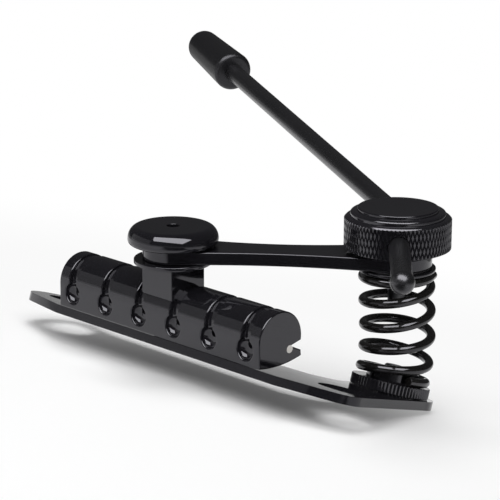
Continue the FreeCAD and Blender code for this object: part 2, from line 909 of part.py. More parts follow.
def make_round_cap():
    low = lever_top + size.spacer_thickness
    high = low + size.cap_height
    rim = low + size.cap_height * CAP_RIM_SHARE
    low_out, low_up = CAP_LOW_MIDDLE_SHARES
    high_out, high_up = CAP_HIGH_MIDDLE_SHARES
    swell = (size.cap_radius - size.cap_base_radius) * low_out
    slope = (size.cap_radius - size.cap_flat_radius) * high_out
    inside = size.bolt_head_radius + size.seat_gap
    ceiling = low + size.bolt_head_height + size.seat_gap
    profile = [
        (inside, low),
        (size.cap_base_radius, low),
        (size.cap_radius, rim, size.cap_base_radius + swell, low + size.cap_height * low_up),
        (size.cap_flat_radius, high, size.cap_flat_radius + slope, low + size.cap_height * high_up),
        (size.cap_hole_radius, high),
        (size.cap_hole_radius, ceiling),
        (inside, ceiling),
    ]
    keep(revolved("round_cap", profile), "round_cap", post_axis)


# Swivel: bushing, liner, cup, stem and lock nut on the knob's axis

def make_swivel_bushing():
    bore = size.stem_radius + size.running_gap
    shell = bore + size.bushing_wall
    top = lever_top + size.bushing_flange
    profile = [
        (bore, lever_bottom),
        (shell, lever_bottom),
        (shell, lever_top),
        (size.bushing_flange_radius, lever_top),
        (size.bushing_flange_radius, top),
        (bore, top),
    ]
    keep(revolved("swivel_bushing", profile), "swivel_bushing", knob_axis)


def make_spring_cup():
    bore = size.stem_thread_radius + size.running_gap
    bottom = cup_bottom - size.cup_step
    profile = [
        (bore, bottom),
        (size.cup_step_radius, bottom),
        (size.cup_step_radius, cup_bottom),
        (size.cup_radius, cup_bottom),
        (size.cup_radius, cup_top),
        (bore, cup_top),
    ]
    keep(revolved("spring_cup", profile), "spring_cup", knob_axis)


def nut_top():
    return cup_bottom - size.cup_step - size.seat_gap


def make_lock_nut():
    low = nut_top() - size.nut_height
    profile = [
        (size.stem_thread_radius, low),
        (size.nut_radius - size.edge_break, low),
        (size.nut_radius, low + size.edge_break),
        (size.nut_radius, nut_top()),
        (size.stem_thread_radius, nut_top()),
    ]
    keep(revolved("lock_nut", profile), "lock_nut", knob_axis)


def holder_top():
    return holder_bottom + size.holder_band + size.band_slope + size.step_wall + size.step_slope


def stem_top():
    return holder_top() - size.lid_sunk


def make_swivel_stem():
    tip = size.stem_tip_rise
    thread = size.stem_thread_radius
    slack = size.arm_radius + size.running_gap
    profile = [
        (0, tip),
        (size.stem_tip_flat, tip),
        (thread, tip + size.stem_tip_round,
         size.stem_tip_flat + (thread - size.stem_tip_flat) * ROUND_SHARE,
         tip + size.stem_tip_round * (1 - ROUND_SHARE)),
        (thread, stem_step),
        (size.stem_radius, stem_step),
        (size.stem_radius, stem_top()),
        (size.clamp_radius, stem_top()),
        (size.clamp_radius, arm_height),
        (0, arm_height),
    ]
    stem = revolved("swivel_stem", profile)
    keep(cut("swivel_stem", stem, [arm_hole("stem_arm_hole", slack)]), "swivel_stem", knob_axis)


def arm_hole(name, radius):
    """The cross hole for the arm, in the knob axis's frame."""
    span = size.holder_radius + size.overrun
    place = moved(0, 0, arm_height).multiply(turned(AXIS_Z, size.arm_azimuth))
    place = place.multiply(moved(-span, 0, 0)).multiply(ALONG_X)
    return cylinder(name, radius, span * 2, place)


# Knurled arm holder with its lid and clamp screw

def make_arm_holder():
    """The knurled band with two rounded steps above it, up to the lid's seat."""
    band_top = holder_bottom + size.holder_band
    step_foot = band_top + size.band_slope
    step_top = step_foot + size.step_wall
    top = holder_top()
    band_fall = size.holder_radius - size.step_radius
    step_fall = size.step_radius - size.lid_radius
    profile = [
        (size.stem_radius, holder_bottom),
        (size.holder_radius - size.edge_break, holder_bottom),
        (size.holder_radius, holder_bottom + size.edge_break),
        (size.holder_radius, band_top),
        (size.step_radius, step_foot,
         size.step_radius + band_fall * ROUND_SHARE, band_top + size.band_slope * ROUND_SHARE),
        (size.step_radius, step_top),
        (size.lid_radius, top,
         size.lid_radius + step_fall * ROUND_SHARE, step_top + size.step_slope * ROUND_SHARE),
        (size.lid_radius, top - size.lid_sunk),
        (size.stem_radius, top - size.lid_sunk),
    ]
    holder = revolved("arm_holder", profile)
    slack = size.arm_radius + size.running_gap
    keep(cut("arm_holder", holder, [arm_hole("holder_arm_hole", slack)]), "arm_holder", knob_axis)


def make_holder_lid():
    low = stem_top()
    high = low + size.lid_sunk + size.lid_proud
    profile = [
        (0, low),
        (size.lid_radius, low),
        (size.lid_radius, high - size.edge_break),
        (size.lid_radius - size.edge_break, high),
        (0, high),
    ]
    keep(revolved("holder_lid", profile), "holder_lid", knob_axis)


def make_clamp_screw():
    low = arm_height + size.arm_radius + size.seat_gap
    top = stem_top() - size.seat_gap
    screw = cylinder("clamp_screw_blank", size.clamp_radius, top - low, moved(0, 0, low))
    depth = size.clamp_hex_depth
    socket = padded("clamp_screw_socket", "XY_Plane", hexagon(size.clamp_hex_flats), depth + size.overrun)
    socket.Placement = moved(0, 0, top - depth)
    keep(cut("clamp_screw", screw, [socket]), "clamp_screw", knob_axis)


# Arm: bent rod, front ball and tip

def bend_setback():
    """Length from the bend's corner to either end of its arc."""
    return float(size.bend_radius) * math.tan(math.radians(float(size.bend_angle)) / 2)


def far_way():
    angle = math.radians(float(size.bend_angle))
    return vector(math.cos(angle), math.sin(angle), 0)


def tip_start():
    """Near face of the tip, in the arm's frame."""
    return vector(size.bend_distance, 0, 0) + far_way() * float(size.arm_reach)


def make_arm_rod():
    corner = vector(size.bend_distance, 0, 0)
    front = vector(-size.arm_front + size.arm_ball_radius - size.arm_ball_grip, 0, 0)
    first = corner - AXIS_X * bend_setback()
    last = corner + far_way() * bend_setback()
    end = tip_start() + far_way() * float(size.tip_bore)
    edges = [
        Part.LineSegment(front, first).toShape(),
        arc_through(first, corner, last),
        Part.LineSegment(last, end).toShape(),
    ]
    ring = Part.Wire([Part.Circle(front, AXIS_X, float(size.arm_radius)).toShape()])
    item = document.addObject("Part::Feature", "arm_rod_bar")
    item.Shape = Part.Wire(edges).makePipeShell([ring], True, False)
    keep(item, "arm_rod", arm_frame)


def make_arm_ball():
    ball = document.addObject("Part::Sphere", "arm_ball_solid")
    bind(ball, "Radius", size.arm_ball_radius)
    grip = cylinder("arm_ball_socket", size.arm_radius, size.arm_ball_radius + size.overrun,
                    moved(size.arm_ball_radius - size.arm_ball_grip, 0, 0).multiply(ALONG_X))
    keep(cut("arm_ball", ball, [grip]), "arm_ball", arm_frame.multiply(moved(-size.arm_front, 0, 0)))


def make_arm_tip():
    near = size.tip_near_radius
    far = size.tip_far_radius
    length = size.tip_length
    rim = size.tip_round
    near_rim = size.tip_near_round
    flat = far - rim
    profile = [
        (size.arm_radius, 0),
        (near - near_rim, 0),
        (near, near_rim, near - near_rim * (1 - ROUND_SHARE), near_rim * (1 - ROUND_SHARE)),
        (far, length - rim),
        (flat, length, flat + rim * ROUND_SHARE, length - rim * (1 - ROUND_SHARE)),
        (0, length),
        (0, size.tip_bore),
        (size.arm_radius, size.tip_bore),
    ]
    start = tip_start()
    place = arm_frame.multiply(moved(start.x, start.y, start.z))
    place = place.multiply(FreeCAD.Placement(vector(0, 0, 0), FreeCAD.Rotation(AXIS_Z, far_way())))
    keep(revolved("arm_tip", profile), "arm_tip", place)


def write_parts():
    """Check every object and sub-part, then write each sub-part's shape."""
    for item in document.Objects:
        if "Invalid" in item.State or "Error" in item.State:
            raise RuntimeError("object failed: " + item.Label)
    for name, item in parts.items():
        if item.Shape.isNull() or not item.Shape.isValid():
            raise RuntimeError("bad shape: " + name)
    os.makedirs("parts", exist_ok=True)
    for name, item in parts.items():
        item.Shape.exportStep("parts/%s.step" % name)
    print("%d sub-parts written" % len(parts))


make_base_plate()
make_bracket("knife_bracket_bass", -1)
make_bracket("knife_bracket_treble", 1)
make_bracket_screws()
make_foot_stud()
make_tension_wheel()
make_tension_spring()
make_string_bar()
make_bearing_pin()
make_centre_post()
ring_piece("flange_disc", size.bolt_radius, size.flange_radius, flange_bottom, lever_bottom, post_axis)
make_lever()
ring_piece("cap_spacer", size.bolt_radius, size.spacer_radius,
           lever_top, lever_top + size.spacer_thickness, post_axis)
make_centre_bolt()
make_round_cap()
make_swivel_bushing()
ring_piece("wave_washer", size.stem_radius + size.running_gap, size.wave_radius,
           lever_top + size.bushing_flange, holder_bottom - size.seat_gap, knob_axis)
ring_piece("cup_liner", size.stem_radius + size.running_gap, size.bushing_flange_radius,
           cup_top, lever_bottom, knob_axis)
make_spring_cup()
make_swivel_stem()
make_lock_nut()
make_arm_holder()
make_holder_lid()
make_clamp_screw()
make_arm_rod()
make_arm_ball()
make_arm_tip()
document.recompute()
write_parts()
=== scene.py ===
# %% [markdown]
# # A tremolo bridge in black plating
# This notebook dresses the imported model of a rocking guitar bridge: a string bar with six strings'
# holes, a lever, a coil spring on a knurled wheel, and an arm in a knurled holder.
# The model already has every piece at its true size. Here each piece gets the rounded edges, the
# knurls and the finish that make plated metal look real. Sizes are read from the model where they can be.

import json
import math

import bmesh
import bpy
from mathutils import Matrix, Vector


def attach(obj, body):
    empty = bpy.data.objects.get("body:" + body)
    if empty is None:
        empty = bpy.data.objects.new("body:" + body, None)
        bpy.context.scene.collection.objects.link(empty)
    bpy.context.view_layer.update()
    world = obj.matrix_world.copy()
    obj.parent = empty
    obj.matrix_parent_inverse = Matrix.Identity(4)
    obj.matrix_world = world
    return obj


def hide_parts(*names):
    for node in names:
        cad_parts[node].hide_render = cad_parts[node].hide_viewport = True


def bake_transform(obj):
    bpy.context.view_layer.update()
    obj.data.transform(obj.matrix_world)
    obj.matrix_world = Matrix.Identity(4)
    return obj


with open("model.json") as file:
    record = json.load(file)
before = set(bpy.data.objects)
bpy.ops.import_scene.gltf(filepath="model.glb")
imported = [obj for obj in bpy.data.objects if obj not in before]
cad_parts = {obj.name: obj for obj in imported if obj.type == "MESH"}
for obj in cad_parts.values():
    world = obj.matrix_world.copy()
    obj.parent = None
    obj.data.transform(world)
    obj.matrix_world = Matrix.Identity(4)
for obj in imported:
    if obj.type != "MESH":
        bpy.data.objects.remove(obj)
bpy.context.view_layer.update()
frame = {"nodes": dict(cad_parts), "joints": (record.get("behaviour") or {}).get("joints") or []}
MM = 0.001

# %% [markdown]
# ## Working axes
# The whole rocking assembly is tilted against the plate, which makes plain numbers awkward. One way is
# to build each piece upright and turn the object, but a finished piece has to sit unturned. So each
# piece is drawn in millimetres in handy axes of its own, and a matrix carries its mesh into place.
# The record's joints give the tilt and the axes, so nothing is guessed twice.

# %% Axes of the bar, the post, the knob and the foot
joints = {joint["name"]: joint for joint in frame["joints"]}
rocker_up = Vector(joints["arm_swing"]["axis"])
rest_tilt = math.atan2(-rocker_up.y, rocker_up.z)
knife_edge = Vector(joints["bar_rock"]["pos_m"])


def shifted(x, y, z):
    """A move by millimetres."""
    return Matrix.Translation(Vector((x, y, z)) * MM)


def measured(node, place):
    """Lowest and highest corner of a CAD node in a placement's own axes, in millimetres."""
    back = place.inverted()
    points = [back @ vert.co / MM for vert in frame["nodes"][node].data.vertices]
    low = Vector([min(point[axis] for point in points) for axis in range(3)])
    high = Vector([max(point[axis] for point in points) for axis in range(3)])
    return low, high


def on_axis_of(node, place):
    """The placement moved sideways onto a round node's axis."""
    low, high = measured(node, place)
    middle = (low + high) / 2
    return place @ shifted(middle.x, middle.y, 0)


KNIFE_DEPTH = 8.6
KNIFE_RISE = 3.0
tilted = Matrix.Translation(knife_edge) @ Matrix.Rotation(rest_tilt, 4, "X")
bar_place = tilted @ shifted(0, -KNIFE_DEPTH, -KNIFE_RISE)
post_place = on_axis_of("round_cap", bar_place)
knob_place = on_axis_of("holder_lid", bar_place)
foot_place = on_axis_of("tension_wheel", Matrix.Identity(4))
print("rest tilt %.1f degrees, knob axis at" % math.degrees(rest_tilt), knob_place.translation)

# %% [markdown]
# ## Shader sums as plain Python
# A node tree is easiest to read as a formula. One small class wraps an output socket and turns sums
# and products into Math nodes. Any other node comes from one function, which sets the node's settings
# first and then its sockets.

# %% A socket that can be added and multiplied
class Wire:
    """One output of a node, which adds Math nodes when it is used in a sum or product."""

    def __init__(self, tree, socket):
        self.tree = tree
        self.socket = socket

    def math(self, operation, first, second):
        return add_node(self.tree, "ShaderNodeMath", {"operation": operation}, {0: first, 1: second})

    def __add__(self, other):
        return self.math("ADD", self, other)

    def __radd__(self, other):
        return self.math("ADD", other, self)

    def __sub__(self, other):
        return self.math("SUBTRACT", self, other)

    def __mul__(self, other):
        return self.math("MULTIPLY", self, other)

    def __rmul__(self, other):
        return self.math("MULTIPLY", other, self)


def add_node(tree, kind, settings, sockets, output=0):
    """A node with its settings, then its socket values or links. Gives one output as a Wire."""
    node = tree.nodes.new(kind)
    for name, value in settings.items():
        setattr(node, name, value)
    for name, value in sockets.items():
        if isinstance(value, Wire):
            tree.links.new(value.socket, node.inputs[name])
        else:
            node.inputs[name].default_value = value
    return Wire(tree, node.outputs[output])


# %% [markdown]
# ## Finishes
# The plating is a deep black that works as a dark mirror. It could be a metal with a very dark tint,
# but that has no body colour in the shade. A black base under a clear reflection is chosen: its index
# of refraction mirrors about a twentieth of the light head on and much more at a glance, and a cool
# specular tint gives the mirror image the plating's faint violet.
# Real plating is never perfect, so a slow noise varies the roughness and lightens the black a little
# in patches, and a fine one adds a hair of relief.

# %% A helper for every finish
CLOUD_SCALE = 90.0
CLOUD_DETAIL = 4.0
SPECK_DETAIL = 2.0
SPECK_SHARE = 0.5
COOL_TINT = (0.94, 0.93, 1.0, 1.0)


def finish_material(name, colour, roughness, smudge, grain, grain_scale, metallic=0.0, index=1.5,
                    lighter=1.5):
    """A finish: roughness wanders by smudge, colour by lighter, and grain is a fine relief's depth."""
    material = bpy.data.materials.new(name)
    material.use_nodes = True
    tree = material.node_tree
    shader = tree.nodes["Principled BSDF"]
    shader.inputs["Metallic"].default_value = metallic
    shader.inputs["IOR"].default_value = index
    shader.inputs["Specular Tint"].default_value = COOL_TINT
    place = add_node(tree, "ShaderNodeTexCoord", {}, {}, "Object")
    clouds = add_node(tree, "ShaderNodeTexNoise", {},
                      {"Vector": place, "Scale": CLOUD_SCALE, "Detail": CLOUD_DETAIL})
    specks = add_node(tree, "ShaderNodeTexNoise", {},
                      {"Vector": place, "Scale": grain_scale, "Detail": SPECK_DETAIL})
    rough = roughness + (clouds - 0.5) * smudge + (specks - 0.5) * (smudge * SPECK_SHARE)
    tree.links.new(rough.socket, shader.inputs["Roughness"])
    dark = (*colour, 1.0)
    light = (*[min(1.0, channel * lighter) for channel in colour], 1.0)
    tint = add_node(tree, "ShaderNodeMix", {"data_type": "RGBA"}, {0: clouds, 6: dark, 7: light}, 2)
    tree.links.new(tint.socket, shader.inputs["Base Color"])
    relief = add_node(tree, "ShaderNodeBump", {}, {"Height": specks, "Strength": 1.0, "Distance": grain * MM})
    tree.links.new(relief.socket, shader.inputs["Normal"])
    print("finish", name)
    return material


# %% The finishes themselves
PLATING_INDEX = 1.56
BLACK = (0.008, 0.0077, 0.0095)
gloss_black = finish_material("gloss_black_plating", BLACK, 0.045, 0.03, 0.0002, 1500, index=PLATING_INDEX)
plate_black = finish_material("plate_plating", BLACK, 0.06, 0.04, 0.0002, 1500, index=1.44)
knurl_black = finish_material("knurled_black_plating", (0.009, 0.0087, 0.0105), 0.13, 0.05, 0.0004, 2400,
                              index=1.66)
spring_black = finish_material("dark_spring_wire", (0.01, 0.0095, 0.009), 0.1, 0.05, 0.0005, 2200,
                               index=PLATING_INDEX)
arm_black = finish_material("satin_black_arm", (0.009, 0.009, 0.01), 0.28, 0.04, 0.0002, 2600, index=1.64)
tip_black = finish_material("black_tip", (0.008, 0.008, 0.009), 0.33, 0.04, 0.0002, 2600, index=1.45)
dark_steel = finish_material("blackened_steel", (0.05, 0.05, 0.052), 0.3, 0.1, 0.0012, 2600, metallic=1.0)
bare_steel = finish_material("bare_steel", (0.62, 0.6, 0.57), 0.3, 0.1, 0.0015, 3000, metallic=1.0,
                             lighter=1.1)
nylon = finish_material("dark_nylon", (0.03, 0.03, 0.032), 0.45, 0.08, 0.002, 3000)


# %% [markdown]
# ## From a bmesh to a piece
# Every piece ends the same way: its mesh is carried into place, its normals are made to face outward,
# sharp edges stay sharp and the rest is smooth. Then it rides on a body of the model and stands for
# the CAD node that it dresses.

# %% Helpers that finish a piece
SHARP_ANGLE = math.radians(32)
WELD = 1e-6


def finished(bm, name, place, material, body, slot, *nodes):
    """Carry a bmesh drawn in millimetres into place and make it a piece of the model."""
    bmesh.ops.remove_doubles(bm, verts=bm.verts, dist=WELD / MM)
    bmesh.ops.recalc_face_normals(bm, faces=bm.faces)
    bmesh.ops.transform(bm, matrix=place @ Matrix.Scale(MM, 4), verts=bm.verts)
    mesh = bpy.data.meshes.new(name)
    bm.to_mesh(mesh)
    bm.free()
    mesh.shade_smooth()
    mesh.set_sharp_from_angle(angle=SHARP_ANGLE)
    mesh.materials.append(material)
    piece = bpy.data.objects.new(name, mesh)
    bpy.context.scene.collection.objects.link(piece)
    weighted = piece.modifiers.new("even_shading", "WEIGHTED_NORMAL")
    weighted.keep_sharp = True
    if body:
        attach(piece, body)
    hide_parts(*nodes)
    print("%s: %d faces" % (name, len(mesh.polygons)))
    return piece


def sharp_edges(bm, least=SHARP_ANGLE):
    """Edges where two faces meet at more than an angle."""
    return [edge for edge in bm.edges if len(edge.link_faces) == 2 and edge.calc_face_angle() > least]


def rounded(bm, edges, width, segments=3):
    """Round some edges off by a width in the bmesh's own unit."""
    bmesh.ops.bevel(bm, geom=edges, offset=width, segments=segments, profile=0.5, material=-1,
                    affect="EDGES", clamp_overlap=True)


def carved(bm, *cutters):
    """Cut closed bmeshes out of another, one after the other, with the Boolean modifier."""
    for cutter in cutters:
        shapes = []
        for name, shape in (("carved_body", bm), ("carving_tool", cutter)):
            bmesh.ops.recalc_face_normals(shape, faces=shape.faces)
            mesh = bpy.data.meshes.new(name)
            shape.to_mesh(mesh)
            shape.free()
            shapes.append(bpy.data.objects.new(name, mesh))
            bpy.context.scene.collection.objects.link(shapes[-1])
        body, tool = shapes
        boolean = body.modifiers.new("carve", "BOOLEAN")
        boolean.operation = "DIFFERENCE"
        boolean.solver = "EXACT"
        boolean.object = tool
        view = bpy.context.evaluated_depsgraph_get()
        bm = bmesh.new()
        bm.from_mesh(body.evaluated_get(view).to_mesh())
        for shape in shapes:
            mesh = shape.data
            bpy.data.objects.remove(shape)
            bpy.data.meshes.remove(mesh)
    return bm


# %% [markdown]
# ## Turned pieces
# Discs, cups and nuts come off a lathe. A lathe is a spin: the outline of one side is turned round
# the axis. Its corners are then rolled over a little, because a plated edge is never sharp and the
# thin bright line on it is what the eye reads as metal.

# %% A lathe
TURN_STEPS = 128


def lathe(profile, closed=True, steps=TURN_STEPS):
    """Spin (radius, height) corners round the Z axis, in millimetres."""
    bm = bmesh.new()
    verts = [bm.verts.new((radius, 0, height)) for radius, height in profile]
    edges = [bm.edges.new(pair) for pair in zip(verts, verts[1:])]
    if closed:
        edges.append(bm.edges.new((verts[-1], verts[0])))
    bmesh.ops.spin(bm, geom=verts + edges, axis=(0, 0, 1), cent=(0, 0, 0), angle=2 * math.pi,
                   steps=steps, use_merge=True)
    bmesh.ops.remove_doubles(bm, verts=bm.verts, dist=WELD / MM)
    bmesh.ops.recalc_face_normals(bm, faces=bm.faces)
    return bm


def arc_points(centre, radii, start, stop, count):
    """Points on an arc or ellipse in the (radius, height) plane, angles in degrees from outward."""
    points = []
    for index in range(count + 1):
        angle = math.radians(start + (stop - start) * index / count)
        points.append((centre[0] + radii[0] * math.cos(angle), centre[1] + radii[1] * math.sin(angle)))
    return points


# %% [markdown]
# ## The base plate
# The plate is cut from sheet and plated. It could be traced again here, but the model's own plate has
# every slot and hole in the right place. Its mesh arrives as loose triangles, so a copy is merged, its
# flat faces are made whole, and its rims are rolled over.

# %% Copy a CAD node into a clean bmesh
FLAT_ANGLE = math.radians(0.02)


def copied(node, place):
    """A CAD node's mesh, merged, with whole flat faces, in millimetres in a placement's axes."""
    bm = bmesh.new()
    bm.from_mesh(frame["nodes"][node].data)
    bmesh.ops.remove_doubles(bm, verts=bm.verts, dist=WELD)
    bmesh.ops.transform(bm, matrix=Matrix.Scale(1 / MM, 4) @ place.inverted(), verts=bm.verts)
    bmesh.ops.dissolve_limit(bm, angle_limit=FLAT_ANGLE, verts=bm.verts, edges=bm.edges)
    return bm


def dressed(node, place, width, material, body, slot):
    """A copy of a CAD node with rounded edges, under its own name."""
    bm = copied(node, place)
    rounded(bm, sharp_edges(bm), width)
    return finished(bm, node + "_dressed", place, material, body, slot, node)


PLATE_EDGE = 0.22
BRACKET_EDGE = 0.15
world_place = Matrix.Identity(4)
dressed("base_plate", world_place, PLATE_EDGE, plate_black, "base", "black_gloss")
for side in ("bass", "treble"):
    dressed("knife_bracket_" + side, world_place, BRACKET_EDGE, dark_steel, "base", "dark_steel")

# %% [markdown]
# ## The string bar
# The bar is the piece that the strings cross: a round bar with a flat front, a groove and a hole for
# each string, and a notch behind that rides on the knives. It mirrors the whole room, so its surface
# has to be even: long bent quads show as kinks in the mirror image. So it isn't copied but lofted.
# One outline is pulled along the bar through many stations, and near each string the outline is
# pressed in by the groove's depth. The walls of a groove are steep and its rims roll over, which
# gives the dark bed and the thin bright line of a polished edge. Only the holes are then cut with
# Boolean tools, the bores a little narrow, so that a sink keeps its whole bowl.

# %% The outline of the bar, from its front lower edge round to its belly
BAR_RADIUS = 5.75
BAR_AXIS_RISE = 4.75
LIP_DEPTH = 11.4
LIP_LOW = 1.67
REAR_RISE = 0.5
BELLY_DEPTH = 5.0
BELLY_DROP = 0.45
FACE_STEPS = 16
BEND_STEPS = 72
BELLY_STEPS = 24
lip_turn = math.acos((LIP_DEPTH - BAR_RADIUS) / BAR_RADIUS)
outline = [(0.0, BAR_AXIS_RISE * index / FACE_STEPS) for index in range(FACE_STEPS)]
outline += arc_points((BAR_RADIUS, BAR_AXIS_RISE), (BAR_RADIUS, BAR_RADIUS), 180, -math.degrees(lip_turn),
                      BEND_STEPS)
outline += [(KNIFE_DEPTH, KNIFE_RISE), (LIP_DEPTH, LIP_LOW)]
rear = (BAR_RADIUS * 2, REAR_RISE)
for index in range(BELLY_STEPS):
    share = index / BELLY_STEPS
    sag = (BELLY_DROP + REAR_RISE * BELLY_DEPTH / rear[0]) * 4 * share * (1 - share)
    outline.append((rear[0] * (1 - share), REAR_RISE * (1 - share) - sag))
print("outline of the bar:", len(outline), "points")

# %% Stations along the bar, close together at each groove
STRING_COUNT = 6
STRING_PITCH = 10.4
STRING_RISE = 3.15
GROOVE_FRONT_DEPTH = 1.15
GROOVE_CROWN_DEPTH = 0.4
GROOVE_RUN_IN = 1.0
GROOVE_WALL = ((0.0, 1.0), (0.6, 1.0), (0.93, 0.99), (1.04, 0.95), (1.08, 0.85), (1.095, 0.6), (1.11, 0.32),
               (1.13, 0.2), (1.17, 0.134), (1.22, 0.083), (1.29, 0.038), (1.37, 0.01), (1.46, 0.0))
strings = [STRING_PITCH * (index - (STRING_COUNT - 1) / 2) for index in range(STRING_COUNT)]
bar_low, bar_high = measured("string_bar", bar_place)
stations = {bar_low.x: 0.0, bar_high.x: 0.0}
for string in strings:
    for away, share in GROOVE_WALL:
        stations[string - away] = share
        stations[string + away] = share


def groove_depth(y, z):
    """Depth of a string groove under a point of the outline. It starts inside the string's sink."""
    start = STRING_RISE - GROOVE_RUN_IN
    if z < start or y > BAR_RADIUS * 2:
        return 0.0
    if z < BAR_AXIS_RISE:
        return GROOVE_FRONT_DEPTH * min(1.0, (z - start) / GROOVE_RUN_IN) if y < BAR_RADIUS else 0.0
    turn = math.atan2(z - BAR_AXIS_RISE, BAR_RADIUS - y)
    middle = (GROOVE_FRONT_DEPTH + GROOVE_CROWN_DEPTH) / 2
    shift = (GROOVE_FRONT_DEPTH - GROOVE_CROWN_DEPTH) / 2
    return max(0.0, middle + shift * (math.cos(turn) - math.sin(turn)))


# %% Loft the bar
bm = bmesh.new()
verts = [bm.verts.new((bar_low.x, y, z)) for y, z in outline]
ring = [bm.edges.new(pair) for pair in zip(verts, verts[1:] + verts[:1])]
bmesh.ops.contextual_create(bm, geom=ring)
places = sorted(stations)
for place_x in places[1:]:
    grown = bmesh.ops.extrude_edge_only(bm, edges=ring)["geom"]
    fresh = {item for item in grown if isinstance(item, bmesh.types.BMVert)}
    ring = [item for item in grown if isinstance(item, bmesh.types.BMEdge) and fresh.issuperset(item.verts)]
    for vert in fresh:
        vert.co.x = place_x
bmesh.ops.contextual_create(bm, geom=ring)
END_EDGE = 0.3
ends = [edge for edge in bm.edges
        if all(abs(abs(vert.co.x) - bar_high.x) < WELD / MM for vert in edge.verts)]
for vert in bm.verts:
    share = min(stations.items(), key=lambda item: abs(item[0] - vert.co.x))[1]
    depth = share * groove_depth(vert.co.y, vert.co.z)
    if depth > 0:
        if vert.co.z < BAR_AXIS_RISE:
            vert.co.y += depth
        else:
            inward = Vector((0, BAR_RADIUS - vert.co.y, BAR_AXIS_RISE - vert.co.z)).normalized()
            vert.co += inward * depth
rounded(bm, ends, END_EDGE, 4)
print("lofted bar:", len(bm.faces), "faces")

# %% Cut the sinks, the string bores with their ball seats, and the pin's bed
SINK_RADIUS = 2.2
SINK_LIP = 0.32
SINK_DEPTH = 1.7
BORE_RADIUS = 0.7
BALL_RADIUS = 2.2
BALL_DEPTH = 2.2
STRING_EXIT_RISE = 7.4
OVERRUN = 1.5
TOOL_STEPS = 48
bore_rise = STRING_EXIT_RISE - STRING_RISE
bore_length = math.hypot(bore_rise, LIP_DEPTH)
bore_slope = math.atan2(bore_rise, LIP_DEPTH)
into_bar = Matrix.Rotation(math.radians(-90), 4, "X")
lip = arc_points((SINK_RADIUS + SINK_LIP, SINK_LIP), (SINK_LIP, SINK_LIP), 270, 180, 6)
bowl = arc_points((BORE_RADIUS, SINK_LIP), (SINK_RADIUS - BORE_RADIUS, SINK_DEPTH - SINK_LIP), 0, 90, 10)
sink_profile = [(0, -OVERRUN), (SINK_RADIUS + SINK_LIP, -OVERRUN), *lip, *bowl[1:], (0, SINK_DEPTH)]
bore_profile = [(0, -OVERRUN), (BORE_RADIUS, -OVERRUN), (BORE_RADIUS, bore_length - BALL_DEPTH),
                (BALL_RADIUS, bore_length - BALL_DEPTH), (BALL_RADIUS, bore_length + OVERRUN),
                (0, bore_length + OVERRUN)]
tools = []
for profile, turn in ((sink_profile, 0.0), (bore_profile, bore_slope)):
    tool = bmesh.new()
    for string in strings:
        one = lathe(profile, False, TOOL_STEPS)
        place = Matrix.Translation((string, 0, STRING_RISE)) @ Matrix.Rotation(turn, 4, "X") @ into_bar
        bmesh.ops.transform(one, matrix=place, verts=one.verts)
        mesh = bpy.data.meshes.new("string_tool")
        one.to_mesh(mesh)
        one.free()
        tool.from_mesh(mesh)
        bpy.data.meshes.remove(mesh)
    tools.append(tool)
pin_low, pin_high = measured("bearing_pin", bar_place)
pin_middle = (pin_low + pin_high) / 2
pin_radius = (pin_high.z - pin_low.z) / 2
bed_place = Matrix.Translation((0, pin_middle.y, pin_middle.z)) @ Matrix.Rotation(math.radians(90), 4, "Y")
bed = bmesh.new()
bmesh.ops.create_cone(bed, cap_ends=True, segments=TOOL_STEPS, radius1=pin_radius, radius2=pin_radius,
                      depth=(bar_high.x + OVERRUN) * 2, matrix=bed_place)
bm = carved(bm, *tools, bed)
finished(bm, "string_bar_lofted", bar_place, gloss_black, "rocker", "black_gloss", "string_bar")

# %% [markdown]
# ## The tension wheel
# The wheel under the spring has a straight knurl. A knurl is best as real teeth, because bump alone
# leaves the rim's outline smooth. A ring with four points for each tooth is drawn, its points are
# moved in and out, and the ring is pulled up and over through a list of stations.

# %% Pull a ring through stations
def pulled(bm, ring, stations):
    """Extrude a ring of edges to each (radius, height). A radius of None keeps the ring's own shape."""
    for radius, height in stations:
        grown = bmesh.ops.extrude_edge_only(bm, edges=ring)["geom"]
        verts = [item for item in grown if isinstance(item, bmesh.types.BMVert)]
        fresh = set(verts)
        ring = [item for item in grown
                if isinstance(item, bmesh.types.BMEdge) and fresh.issuperset(item.verts)]
        for vert in verts:
            if radius is not None:
                flat = Vector((vert.co.x, vert.co.y, 0)).normalized() * radius
                vert.co.x = flat.x
                vert.co.y = flat.y
            vert.co.z = height
    return ring


def open_ring(bm, height):
    """Boundary edges of a bmesh that lie at one height."""
    return [edge for edge in bm.edges if edge.is_boundary
            and all(abs(vert.co.z - height) < WELD / MM for vert in edge.verts)]


# %% The knurled wheel
WHEEL_TEETH = 66
TOOTH_DEPTH = 0.22
TOOTH_SHARES = (0.0, 0.72, 1.0, 0.72)
WHEEL_BREAK = 0.12
BOSS_EDGE = 0.3
wheel_low, wheel_high = measured("tension_wheel", foot_place)
RIM_HEIGHT = 2.1
BOSS_RADIUS = 5.2
WHEEL_BORE = 2.15

